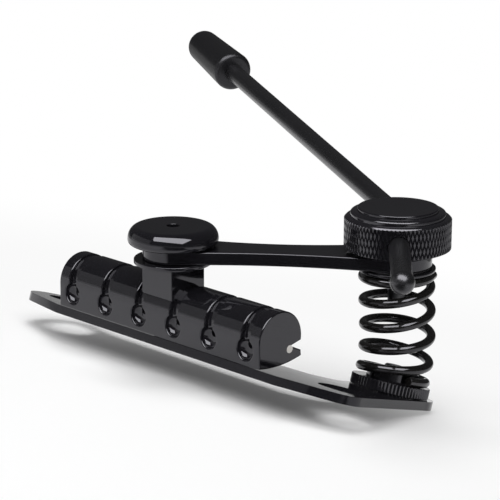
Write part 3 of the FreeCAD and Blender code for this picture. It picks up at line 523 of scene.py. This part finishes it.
rim_top = wheel_low.z + RIM_HEIGHT
bm = bmesh.new()
bmesh.ops.create_circle(bm, segments=WHEEL_TEETH * len(TOOTH_SHARES), radius=wheel_high.x)
bmesh.ops.translate(bm, vec=(0, 0, wheel_low.z + WHEEL_BREAK), verts=bm.verts)
for vert in bm.verts:
    turn = (math.atan2(vert.co.y, vert.co.x) / (2 * math.pi)) % 1
    step = round(turn * WHEEL_TEETH * len(TOOTH_SHARES)) % len(TOOTH_SHARES)
    share = 1 - TOOTH_DEPTH * (1 - TOOTH_SHARES[step]) / wheel_high.x
    vert.co.x *= share
    vert.co.y *= share
first_ring = list(bm.edges)
ring = pulled(bm, first_ring, [
    (None, rim_top - WHEEL_BREAK),
    (wheel_high.x - WHEEL_BREAK, rim_top),
    (BOSS_RADIUS, rim_top),
    (BOSS_RADIUS, wheel_high.z - BOSS_EDGE),
    (BOSS_RADIUS - BOSS_EDGE, wheel_high.z),
    (WHEEL_BORE, wheel_high.z),
    (WHEEL_BORE, wheel_low.z),
    (wheel_high.x - WHEEL_BREAK, wheel_low.z),
])
bmesh.ops.bridge_loops(bm, edges=ring + open_ring(bm, wheel_low.z + WHEEL_BREAK))
finished(bm, "tension_wheel_knurled", foot_place, knurl_black, "wheel", "knurled_black", "tension_wheel")

# %% [markdown]
# ## The spring
# The spring is one wire whose end coils lie close and whose middle coils stand open. Its axis bends
# from upright at the wheel to the tilted cup. A curve with a round section follows the same law as the
# model's wire, and its mesh is kept.

# %% The law of the coil
SPRING_TURNS = 5.1
SPRING_START = math.radians(353.5)
SPRING_RADIUS = 6.8
WIRE_RADIUS = 0.95
SEAT_GAP = 0.1
CUP_STEP = 1.8
DEAD_PITCH_SHARE = 0.05
DEAD_TURNS_SHARE = 0.3
OPEN_TURNS_SHARE = 0.7
COIL_STEPS = 56


def eased(turn):
    """Climb of the wire after so many turns from one end, in open pitches."""
    climb = DEAD_PITCH_SHARE * turn
    gain = 1 - DEAD_PITCH_SHARE
    if turn > OPEN_TURNS_SHARE:
        climb += gain * (turn - (DEAD_TURNS_SHARE + OPEN_TURNS_SHARE) / 2)
    elif turn > DEAD_TURNS_SHARE:
        climb += gain * (turn - DEAD_TURNS_SHARE) ** 2 / (2 * (OPEN_TURNS_SHARE - DEAD_TURNS_SHARE))
    return climb


def climb_share(turn):
    """Share of the spring's height reached after so many turns."""
    half = eased(SPRING_TURNS / 2)
    if turn <= SPRING_TURNS / 2:
        return eased(turn) / (2 * half)
    return 1 - eased(SPRING_TURNS - turn) / (2 * half)


cup_low, cup_high = measured("spring_cup", knob_place)
lift = WIRE_RADIUS + SEAT_GAP
coil_foot = foot_place @ Vector((0, 0, (rim_top + lift) * MM))
coil_head = knob_place @ Vector((0, 0, (cup_low.z + CUP_STEP - lift) * MM))


def coil_axis(share):
    """Place and direction on the spring's bent axis, square to both seats."""
    span = (coil_head - coil_foot).length
    rest = 1 - share
    place = coil_foot * (rest * rest * (1 + 2 * share)) + coil_head * (share * share * (3 - 2 * share))
    up = Vector((0, 0, 1))
    place = place + up * (span * share * rest * rest) - rocker_up * (span * share * share * rest)
    way = (coil_head - coil_foot) * (6 * share * rest)
    way = way + up * (span * rest * (1 - 3 * share)) + rocker_up * (span * share * (3 * share - 2))
    return place, way.normalized()


def wire_point(turn):
    """Centre of the wire after so many turns."""
    place, way = coil_axis(climb_share(turn))
    angle = SPRING_START + 2 * math.pi * turn
    along = Vector((1, 0, 0))
    side = way.cross(along).normalized()
    return place + (along * math.cos(angle) + side * math.sin(angle)) * (SPRING_RADIUS * MM)


# %% The wire as a mesh
WIRE_RESOLUTION = 6
count = round(SPRING_TURNS * COIL_STEPS)
points = [wire_point(SPRING_TURNS * index / count) for index in range(count + 1)]
tail = points[0] + (points[0] - points[1]).normalized() * (2 * WIRE_RADIUS * MM)
head = points[-1] + (points[-1] - points[-2]).normalized() * (2 * WIRE_RADIUS * MM)
points = [tail, *points, head]
line = bpy.data.curves.new("spring_line", "CURVE")
line.dimensions = "3D"
line.bevel_depth = WIRE_RADIUS * MM
line.bevel_resolution = WIRE_RESOLUTION
line.use_fill_caps = True
spline = line.splines.new("POLY")
spline.points.add(len(points) - 1)
for knot, point in zip(spline.points, points):
    knot.co = (*point, 1)
line_object = bpy.data.objects.new("spring_line", line)
bpy.context.scene.collection.objects.link(line_object)
wire_mesh = bpy.data.meshes.new_from_object(line_object)
bpy.data.objects.remove(line_object)
bm = bmesh.new()
bm.from_mesh(wire_mesh)
bmesh.ops.remove_doubles(bm, verts=bm.verts, dist=WELD)
bmesh.ops.transform(bm, matrix=Matrix.Scale(1 / MM, 4), verts=bm.verts)
WIRE_END_EDGE = 0.15
rounded(bm, sharp_edges(bm), WIRE_END_EDGE)
spring = finished(bm, "tension_spring_wire", world_place, spring_black, None, "spring_black",
                  "tension_spring")
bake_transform(spring)

# %% [markdown]
# ## Post, flange and lever
# The square post is milled, so a bevelled cube is enough. The flange under the lever is a thin disc.
# The lever itself is a copy from the model, because its waist is drawn there.

# %% Post, flange and lever
POST_EDGE = 0.2
post_low, post_high = measured("centre_post", post_place)
bm = bmesh.new()
bmesh.ops.create_cube(bm, size=1)
bmesh.ops.scale(bm, vec=post_high - post_low, verts=bm.verts)
bmesh.ops.translate(bm, vec=(post_high + post_low) / 2, verts=bm.verts)
rounded(bm, sharp_edges(bm), POST_EDGE)
finished(bm, "square_post", post_place, gloss_black, "rocker", "black_gloss", "centre_post")

BOLT_RADIUS = 2.5
DISC_EDGE = 0.2


def disc(node, name, place, inner, edge, material, body, slot):
    """A plain turned ring with rolled edges, as wide and as high as its CAD node."""
    low, high = measured(node, place)
    bm = lathe([(inner, low.z), (high.x, low.z), (high.x, high.z), (inner, high.z)])
    rounded(bm, sharp_edges(bm), edge)
    return finished(bm, name, place, material, body, slot, node)


disc("flange_disc", "flange_disc_turned", post_place, BOLT_RADIUS, DISC_EDGE, gloss_black, "rocker",
     "black_gloss")
LEVER_EDGE = 0.3
dressed("lever", post_place, LEVER_EDGE, gloss_black, "rocker", "black_gloss")
SPACER_EDGE = 0.08
disc("cap_spacer", "cap_spacer_turned", post_place, BOLT_RADIUS, SPACER_EDGE, gloss_black, "rocker",
     "black_gloss")

# %% [markdown]
# ## The round cap
# The cap over the post's bolt is a low dome with a full, rounded rim and a small hole for the key.
# It mirrors the lamp above the camera, so its curve has to be smooth: the outline is made of two
# elliptical quarters.

# %% The cap
CAP_FLAT = 7.1
CAP_FOOT = 8.3
CAP_RIM_SHARE = 0.27
CAP_HOLE = 1.3
CAP_INSIDE = 4.5
CAP_CEILING = 2.3
cap_low, cap_high = measured("round_cap", post_place)
cap_height = cap_high.z - cap_low.z
rim_height = cap_low.z + cap_height * CAP_RIM_SHARE
lower = arc_points((CAP_FOOT, rim_height), (cap_high.x - CAP_FOOT, rim_height - cap_low.z), -90, 0, 12)
upper = arc_points((CAP_FLAT, rim_height), (cap_high.x - CAP_FLAT, cap_high.z - rim_height), 0, 90, 18)
profile = [(CAP_INSIDE, cap_low.z), *lower, *upper[1:], (CAP_HOLE, cap_high.z)]
profile += [(CAP_HOLE, cap_low.z + CAP_CEILING), (CAP_INSIDE, cap_low.z + CAP_CEILING)]
bm = lathe(profile)
CAP_HOLE_EDGE = 0.15
rounded(bm, sharp_edges(bm), CAP_HOLE_EDGE)
finished(bm, "round_cap_turned", post_place, gloss_black, "rocker", "black_gloss", "round_cap")

# %% [markdown]
# ## Swivel rings
# Between the lever and the holder sit a nylon bushing and a waved washer, and under the lever a
# liner and the stepped cup that centres the spring.

# %% Cup, liner and nut
STEM_BORE = 3.35
THREAD_BORE = 1.9
CUP_STEP_RADIUS = 5.25
CUP_EDGE = 0.2
bm = lathe([
    (THREAD_BORE, cup_low.z),
    (CUP_STEP_RADIUS, cup_low.z),
    (CUP_STEP_RADIUS, cup_low.z + CUP_STEP),
    (cup_high.x, cup_low.z + CUP_STEP),
    (cup_high.x, cup_high.z),
    (THREAD_BORE, cup_high.z),
])
rounded(bm, sharp_edges(bm), CUP_EDGE)
finished(bm, "spring_cup_turned", knob_place, gloss_black, "rocker", "black_gloss", "spring_cup")
LINER_EDGE = 0.06
disc("cup_liner", "cup_liner_turned", knob_place, STEM_BORE, LINER_EDGE, nylon, "rocker", "nylon")
NUT_EDGE = 0.2
THREAD_RADIUS = 1.75
disc("lock_nut", "lock_nut_turned", knob_place, THREAD_RADIUS, NUT_EDGE, dark_steel, "swivel", "dark_steel")
STEM_EDGE = 0.05
dressed("swivel_stem", knob_place, STEM_EDGE, dark_steel, "swivel", "dark_steel")
BUSHING_EDGE = 0.08
dressed("swivel_bushing", knob_place, BUSHING_EDGE, nylon, "rocker", "nylon")

# %% [markdown]
# ## The knurled holder
# The holder's band has a diamond knurl: two sets of slanted cuts that leave rows of raised diamonds.
# It could be a bump map, but its outline shows against the white, so it is cut as real relief. A grid
# is laid out flat with its cells turned to diamonds, each cell is drawn in and raised, and the sheet
# is trimmed to the band and wrapped round. The rings above and below are pulled from its edges.

# %% Lay out the diamonds
KNURL_COUNT = 80
KNURL_ROWS = 4
KNURL_DEPTH = 0.28
KNURL_WALL = 0.19
KNURL_WELD = 0.002
CUT_REACH = 1e-7
BAND_BOTTOM_BREAK = 0.3
BAND_HEIGHT = 6.15
holder_low, holder_high = measured("arm_holder", knob_place)
band_radius = holder_high.x
band_low = holder_low.z + BAND_BOTTOM_BREAK
band_high = holder_low.z + BAND_HEIGHT
band_length = 2 * math.pi * band_radius
cell_width = band_length / KNURL_COUNT
cell_height = (band_high - band_low) / KNURL_ROWS * 2

bm = bmesh.new()
span = KNURL_COUNT + KNURL_ROWS + 2
bmesh.ops.create_grid(bm, x_segments=span, y_segments=span, size=span / 2)
diamonds = Matrix(((cell_width / 2, cell_width / 2, 0, 0), (-cell_height / 2, cell_height / 2, 0, 0),
                   (0, 0, 1, 0), (0, 0, 0, 1)))
bmesh.ops.transform(bm, matrix=diamonds, verts=bm.verts)
bmesh.ops.translate(bm, vec=(band_length / 2, (band_low + band_high) / 2, 0), verts=bm.verts)
margin = cell_height
outside = [face for face in bm.faces
           if not (-cell_width < face.calc_center_median().x < band_length + cell_width
                   and band_low - margin < face.calc_center_median().y < band_high + margin)]
bmesh.ops.delete(bm, geom=outside, context="FACES")
print("diamonds laid out:", len(bm.faces))

# %% Raise, trim and wrap them
for vert in bm.verts:
    vert.co.z = -KNURL_DEPTH
valleys = set(bm.verts)
bmesh.ops.inset_individual(bm, faces=bm.faces, thickness=KNURL_WALL, depth=0, use_even_offset=True)
for vert in bm.verts:
    if vert not in valleys:
        vert.co.z = 0
for place, way in (((0, 0, 0), (-1, 0, 0)), ((band_length, 0, 0), (1, 0, 0)),
                   ((0, band_low, 0), (0, -1, 0)), ((0, band_high, 0), (0, 1, 0))):
    bmesh.ops.bisect_plane(bm, geom=bm.verts[:] + bm.edges[:] + bm.faces[:], dist=CUT_REACH,
                           plane_co=place, plane_no=way, clear_outer=True)
for vert in bm.verts:
    angle = vert.co.x / band_radius
    radius = band_radius + vert.co.z
    vert.co = (radius * math.cos(angle), radius * math.sin(angle), vert.co.y)
bmesh.ops.remove_doubles(bm, verts=bm.verts, dist=KNURL_WELD)
print("knurl faces:", len(bm.faces))

# %% Pull the rings above and below the band
STEP_RADIUS = 9.5
BAND_SLOPE = 0.6
STEP_WALL = 0.5
STEP_SLOPE = 0.6
LID_RADIUS = 8.1
LID_SUNK = 0.7
STEM_RADIUS = 3.2
RIM_ROUND = 0.12
step_foot = band_high + BAND_SLOPE
step_top = step_foot + STEP_WALL
shoulder = holder_high.z
lid_seat = shoulder - LID_SUNK
plain_radius = band_radius - KNURL_DEPTH / 2
first_slope = arc_points((STEP_RADIUS, band_high), (plain_radius - STEP_RADIUS, BAND_SLOPE), 0, 90, 8)
second_slope = arc_points((LID_RADIUS, step_top), (STEP_RADIUS - LID_RADIUS, STEP_SLOPE), 0, 90, 8)
top_ring = pulled(bm, open_ring(bm, band_high), [
    *first_slope[1:],
    *second_slope,
    (LID_RADIUS, lid_seat),
    (STEM_RADIUS, lid_seat),
    (STEM_RADIUS, holder_low.z),
    (band_radius - BAND_BOTTOM_BREAK - KNURL_DEPTH, holder_low.z),
    (band_radius - KNURL_DEPTH, band_low - RIM_ROUND),
])
bmesh.ops.bridge_loops(bm, edges=top_ring + open_ring(bm, band_low))

# %% [markdown]
# ## The arm's cross hole
# The arm slides through the holder, so the band has a hole with a small rolled rim on each side. Its
# direction is the sliding joint's axis, and its height is the ball's. A turned tool cuts it.

# %% Cut the cross hole
HOLE_RADIUS = 2.14
HOLE_FLARE = 0.12
FLARE_REACH = 0.12
hole_way = Vector(joints["arm_slide"]["axis"])
ball_low, ball_high = measured("arm_ball", bar_place)
arm_rise = (ball_low.z + ball_high.z) / 2
hole_turn = hole_way.to_track_quat("Z", "Y").to_matrix().to_4x4()
hole_place = Matrix.Translation((knob_place @ shifted(0, 0, arm_rise)).translation) @ hole_turn
reach = band_radius - KNURL_DEPTH - FLARE_REACH
flare = arc_points((HOLE_RADIUS + HOLE_FLARE, reach), (HOLE_FLARE, FLARE_REACH), 180, 90, 6)
half_profile = [(HOLE_RADIUS, 0), *flare, (HOLE_RADIUS + HOLE_FLARE, band_radius + OVERRUN)]
other_half = [(radius, -height) for radius, height in half_profile[1:]]
hole_profile = [(0, band_radius + OVERRUN), *reversed(half_profile), *other_half,
                (0, -band_radius - OVERRUN)]
hole = lathe(hole_profile, False, TOOL_STEPS)
into_holder = knob_place.inverted() @ hole_place
into_holder.translation = into_holder.translation / MM
bmesh.ops.transform(hole, matrix=into_holder, verts=hole.verts)
bmesh.ops.remove_doubles(bm, verts=bm.verts, dist=WELD / MM)
bm = carved(bm, hole)
finished(bm, "arm_holder_knurled", knob_place, knurl_black, "swivel", "knurled_black", "arm_holder")

# %% [markdown]
# ## The lid
# The lid closes the holder. Its top is almost flat, with a rounded rim that catches a thin light.

# %% The lid
LID_EDGE = 0.28
LID_DISH = 0.12
lid_low, lid_high = measured("holder_lid", knob_place)
bm = lathe([(0, lid_low.z), (lid_high.x, lid_low.z), (lid_high.x, lid_high.z), (0, lid_high.z - LID_DISH)],
           closed=False)
rounded(bm, sharp_edges(bm), LID_EDGE, 4)
finished(bm, "holder_lid_turned", knob_place, gloss_black, "swivel", "black_gloss", "holder_lid")

# %% [markdown]
# ## The arm
# The arm is a bent rod with a small ball at its front and a tapered tip. The three are copies from
# the model with softened edges and a satin finish.

# %% Rod, ball and tip
ROD_EDGE = 0.1
TIP_EDGE = 0.3
dressed("arm_rod", world_place, ROD_EDGE, arm_black, "arm", "arm_black")
dressed("arm_ball", world_place, ROD_EDGE, arm_black, "arm", "arm_black")
dressed("arm_tip", world_place, TIP_EDGE, tip_black, "arm", "tip_black")

# %% [markdown]
# ## Pieces that stay as they are
# Small or hidden pieces keep the model's own mesh and only get their finish.

# %% Finish the remaining nodes
kept = {
    "bracket_screws": dark_steel,
    "foot_stud": dark_steel,
    "bearing_pin": bare_steel,
    "centre_bolt": dark_steel,
    "wave_washer": bare_steel,
    "clamp_screw": dark_steel,
}
for node, material in kept.items():
    mesh = frame["nodes"][node].data
    mesh.materials.clear()
    mesh.materials.append(material)
print("kept as modelled:", ", ".join(kept))

# %% [markdown]
# ## Table, light and camera
# The photograph has a white table, a large lamp above the camera, and a dark room. The table is a
# round sheet of paper. Near the bridge it is matte and takes the shadow, with a faint glow that keeps
# the shadow soft, and farther out it fades to plain white. Black plating shows only what it mirrors,
# so for mirror rays the paper is dark on the camera's side, as the room was.
# The room itself is almost dark, but the camera sees it as plain white, and mirror rays find a pale
# table beyond the paper's rim.

# %% Where the camera looks from, in the bar's level axes
CAMERA_AZIMUTH = 46.14
CAMERA_ELEVATION = 15.25
CAMERA_ROLL = math.radians(0.334)
CAMERA_DISTANCE = 445
CAMERA_AIM = (27.37, 0, 23.38)
CAMERA_LENS = 168.4
SENSOR_WIDTH = 36
CLIP_START = 0.01
aim = bar_place @ (Vector(CAMERA_AIM) * MM)
turn = math.radians(CAMERA_AZIMUTH)
front_way = bar_place.to_3x3() @ Vector((math.sin(turn), -math.cos(turn), 0))
side_way = bar_place.to_3x3() @ Vector((math.cos(turn), math.sin(turn), 0))

# %% The paper
PAPER_TILT = math.radians(8)
PAPER_RADIUS = 320
PAPER_GAP = 0.02
PAPER_SIDES = 96
plate_low, plate_high = measured("base_plate", world_place)
paper_place = Matrix.Translation(Vector((knob_place.translation.x, plate_high.y * MM, -PAPER_GAP * MM)))
paper_place = paper_place @ Matrix.Rotation(PAPER_TILT, 4, "X")
bm = bmesh.new()
bmesh.ops.create_circle(bm, segments=PAPER_SIDES, radius=PAPER_RADIUS, cap_ends=True)
bmesh.ops.transform(bm, matrix=paper_place @ Matrix.Scale(MM, 4), verts=bm.verts)
mesh = bpy.data.meshes.new("paper")
bm.to_mesh(mesh)
bm.free()
paper = bpy.data.objects.new("paper", mesh)
bpy.context.scene.collection.objects.link(paper)

# %% Its surface: white, and dark for mirror rays in front
PAPER_WHITE = (0.9, 0.9, 0.9, 1)
GLOW = 0.08
PAPER_FAR = 0.95
FADE_START = 0.075
FADE_END = 0.16
RIM_START = 0.18
RIM_END = 0.3
FADE_AHEAD = 0.03
FADE_ASIDE = -0.055
FRONT_NEAR = 0.015
FRONT_FAR = 0.04
FRONT_BLUR = 0.04
FRONT_SPREAD = 0.45
GLOOM = 0.02
material = bpy.data.materials.new("white_paper")
material.use_nodes = True
tree = material.node_tree
tree.nodes.clear()
matte = add_node(tree, "ShaderNodeBsdfDiffuse", {}, {"Color": PAPER_WHITE})
place = add_node(tree, "ShaderNodeTexCoord", {}, {}, "Object")
centre = tuple(aim + front_way * FADE_AHEAD + side_way * FADE_ASIDE)
away = add_node(tree, "ShaderNodeVectorMath", {"operation": "DISTANCE"}, {0: place, 1: centre}, "Value")
fade = add_node(tree, "ShaderNodeMapRange", {"interpolation_type": "SMOOTHSTEP"},
                {"Value": away, "From Min": FADE_START, "From Max": FADE_END})
far = add_node(tree, "ShaderNodeMapRange", {"interpolation_type": "SMOOTHSTEP"},
               {"Value": away, "From Min": RIM_START, "From Max": RIM_END, "To Min": PAPER_FAR,
                "To Max": 1.0})
offset = add_node(tree, "ShaderNodeVectorMath", {"operation": "SUBTRACT"},
                  {0: place, 1: tuple(aim)}, "Vector")
forward = add_node(tree, "ShaderNodeVectorMath", {"operation": "DOT_PRODUCT"},
                   {0: offset, 1: tuple(front_way)}, "Value")
across = add_node(tree, "ShaderNodeVectorMath", {"operation": "DOT_PRODUCT"},
                  {0: offset, 1: tuple(side_way)}, "Value")
beside = add_node(tree, "ShaderNodeMath", {"operation": "ABSOLUTE"}, {0: across})
edge = beside - forward * FRONT_SPREAD
in_front = add_node(tree, "ShaderNodeMapRange", {"interpolation_type": "SMOOTHSTEP"},
                    {"Value": forward, "From Min": FRONT_NEAR, "From Max": FRONT_FAR})
within = add_node(tree, "ShaderNodeMapRange", {"interpolation_type": "SMOOTHSTEP"},
                  {"Value": edge, "From Min": 0.0, "From Max": FRONT_BLUR, "To Min": 1.0, "To Max": 0.0})
rays = tree.nodes.new("ShaderNodeLightPath")
mirror_ray = Wire(tree, rays.outputs["Is Glossy Ray"])
dark_front = in_front * within * mirror_ray
glow = add_node(tree, "ShaderNodeEmission", {}, {"Strength": GLOW})
lit = add_node(tree, "ShaderNodeAddShader", {}, {0: matte, 1: glow})
white = add_node(tree, "ShaderNodeEmission", {}, {"Strength": far})
sheet = add_node(tree, "ShaderNodeMixShader", {}, {0: fade, 1: lit, 2: white})
gloom = add_node(tree, "ShaderNodeEmission", {}, {"Strength": GLOOM})
mixed = add_node(tree, "ShaderNodeMixShader", {}, {0: dark_front, 1: sheet, 2: gloom})
paper_output = tree.nodes.new("ShaderNodeOutputMaterial")
tree.links.new(mixed.socket, paper_output.inputs["Surface"])
mesh.materials.append(material)

# %% The room
ROOM_DARK = 0.045
HORIZON_FADE = 0.02
MIRROR_SKY = 0.3
room = bpy.data.worlds.new("room")
bpy.context.scene.world = room
room.use_nodes = True
tree = room.node_tree
tree.nodes.clear()
direction = add_node(tree, "ShaderNodeTexCoord", {}, {}, "Generated")
paper_up = tuple(paper_place.to_3x3() @ Vector((0, 0, 1)))
rise = add_node(tree, "ShaderNodeVectorMath", {"operation": "DOT_PRODUCT"},
                {0: direction, 1: paper_up}, "Value")
below = add_node(tree, "ShaderNodeMapRange", {"interpolation_type": "SMOOTHSTEP"},
                 {"Value": rise, "From Min": 0.0, "From Max": HORIZON_FADE, "To Min": 1.0, "To Max": 0.0})
rays = tree.nodes.new("ShaderNodeLightPath")
camera_ray = Wire(tree, rays.outputs["Is Camera Ray"])
mirror_ray = Wire(tree, rays.outputs["Is Glossy Ray"])
clear_ray = Wire(tree, rays.outputs["Is Transmission Ray"])
horizon = below * (MIRROR_SKY * mirror_ray + clear_ray)
backdrop = add_node(tree, "ShaderNodeMath", {"operation": "MAXIMUM"}, {0: camera_ray, 1: horizon})
level = ROOM_DARK + backdrop * (1 - ROOM_DARK)
sky = add_node(tree, "ShaderNodeBackground", {}, {"Color": (1, 1, 1, 1), "Strength": level})
room_output = tree.nodes.new("ShaderNodeOutputWorld")
tree.links.new(sky.socket, room_output.inputs["Surface"])

# %% [markdown]
# ## Lamps
# A wide softbox over the camera lights the bridge, and a card in the same place makes the clear
# rectangle on the round cap: it is seen by mirror rays and lights nothing else. A lamp behind throws
# the soft shadow forward, and a faint panel stands at the left.

# %% The lamps
def lamp(name, azimuth, elevation, distance, width, height, glow):
    """A soft box aimed at the bridge, placed by angles in the bar's level axes. Glow is its brightness."""
    turn = math.radians(azimuth)
    rise = math.radians(elevation)
    away = Vector((math.cos(rise) * math.sin(turn), -math.cos(rise) * math.cos(turn), math.sin(rise)))
    data = bpy.data.lights.new(name, "AREA")
    data.shape = "RECTANGLE"
    data.size = width * MM
    data.size_y = height * MM
    data.energy = glow * math.pi * width * height * MM * MM
    box = bpy.data.objects.new(name, data)
    way = bar_place.to_3x3() @ away
    box.location = aim + way * distance * MM
    box.rotation_mode = "QUATERNION"
    box.rotation_quaternion = way.to_track_quat("Z", "Y")
    bpy.context.scene.collection.objects.link(box)
    return box


KEY_AZIMUTH = CAMERA_AZIMUTH - 5
KEY_ELEVATION = 60
BACK_AZIMUTH = CAMERA_AZIMUTH + 178
lamp("key_softbox", KEY_AZIMUTH, KEY_ELEVATION, distance=700, width=1100, height=600, glow=2.2)
lamp("left_panel", azimuth=-50, elevation=15, distance=700, width=900, height=428, glow=0.3)
highlight = lamp("highlight_card", KEY_AZIMUTH, KEY_ELEVATION, distance=690, width=1060, height=560,
                 glow=4.3)
highlight.visible_diffuse = False
back_light = lamp("back_light", BACK_AZIMUTH, elevation=66, distance=600, width=380, height=380, glow=4.6)
back_light.visible_glossy = False

# %% [markdown]
# ## The camera
# The camera's place was worked out from points of the bridge in the photograph. It looks along the
# bar's own level axes, so its numbers stay plain, and the bar's placement turns them into the frame.

# %% The camera
turn = math.radians(CAMERA_AZIMUTH)
rise = math.radians(CAMERA_ELEVATION)
back = Vector((math.cos(rise) * math.sin(turn), -math.cos(rise) * math.cos(turn), math.sin(rise)))
right = Vector((math.cos(turn), math.sin(turn), 0))
up = back.cross(right)
rolled_right = right * math.cos(CAMERA_ROLL) + up * math.sin(CAMERA_ROLL)
rolled_up = up * math.cos(CAMERA_ROLL) - right * math.sin(CAMERA_ROLL)
turned = Matrix((rolled_right, rolled_up, back)).transposed()
camera = bpy.data.objects.new("camera", bpy.data.cameras.new("camera"))
bpy.context.scene.collection.objects.link(camera)
camera.data.sensor_width = SENSOR_WIDTH
camera.data.lens = CAMERA_LENS
camera.data.clip_start = CLIP_START
camera.matrix_world = (Matrix.Translation(aim) @ bar_place.to_3x3().to_4x4() @ turned.to_4x4()
                       @ Matrix.Translation((0, 0, CAMERA_DISTANCE * MM)))
bpy.context.scene.camera = camera
bpy.context.scene.view_settings.view_transform = "Standard"
print("camera at", camera.matrix_world.translation)
